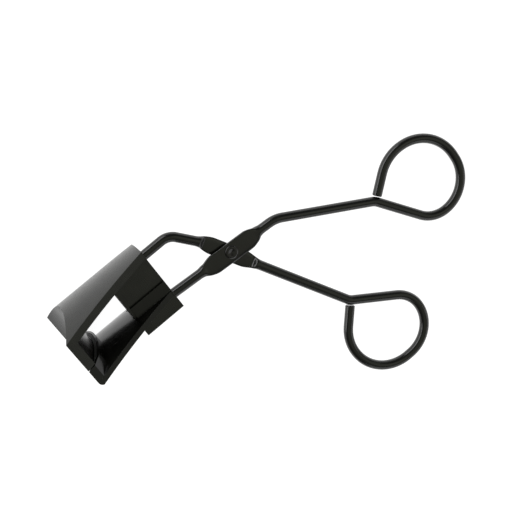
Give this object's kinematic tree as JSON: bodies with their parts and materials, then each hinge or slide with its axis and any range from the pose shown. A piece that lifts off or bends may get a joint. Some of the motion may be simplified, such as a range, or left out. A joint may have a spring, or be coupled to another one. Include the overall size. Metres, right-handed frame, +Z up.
{
  "type": "eyelash curler",
  "caption": "Black eyelash curler with scissor wire handles on a rivet, finger loops, arched flared jaws, a sheet guide bracket and a silicone pad in the sliding lower jaw.",
  "frame": {"origin": "middle of the underside of the part's box, as it lies on its side on a table", "axes": "+X from the jaws towards the handles, +Y the way the lower jaw closes onto the upper jaw, +Z up from the table"},
  "size_m": [0.1226, 0.0824, 0.029],
  "materials": {
    "lacquered_sheet": "satin gloss black lacquer",
    "lacquered_wire": "gloss black lacquer",
    "silicone_pad": "matt black silicone"
  },
  "bodies": {
    "upper_jaw_frame": {"upper_jaw_plate": "lacquered_sheet", "guide_bracket": "lacquered_sheet", "wire_saddle": "lacquered_sheet", "upper_jaw_handle": "lacquered_wire", "pivot_rivet": "lacquered_wire"},
    "lower_handle": {"lower_jaw_handle": "lacquered_wire", "drive_pin": "lacquered_wire"},
    "lower_jaw": {"lower_jaw_plate": "lacquered_sheet", "drive_bracket": "lacquered_sheet", "pad_channel": "lacquered_sheet", "lash_pad": "silicone_pad"}
  },
  "joints": [
    {"name": "handle_pivot", "type": "hinge", "parent": "upper_jaw_frame", "child": "lower_handle", "pos_m": [-0.00965, 0.02258, 0.00903], "axis": [0.1088, 0, 0.9941], "range_deg": [0, 16]},
    {"name": "jaw_slide", "type": "slide", "parent": "upper_jaw_frame", "child": "lower_jaw", "axis": [0, -1, 0], "range_m": [0, 0.0076]}
  ],
  "couplings": [
    {"joint": "jaw_slide", "follows": "handle_pivot", "m_per_rad": 0.0267}
  ]
}
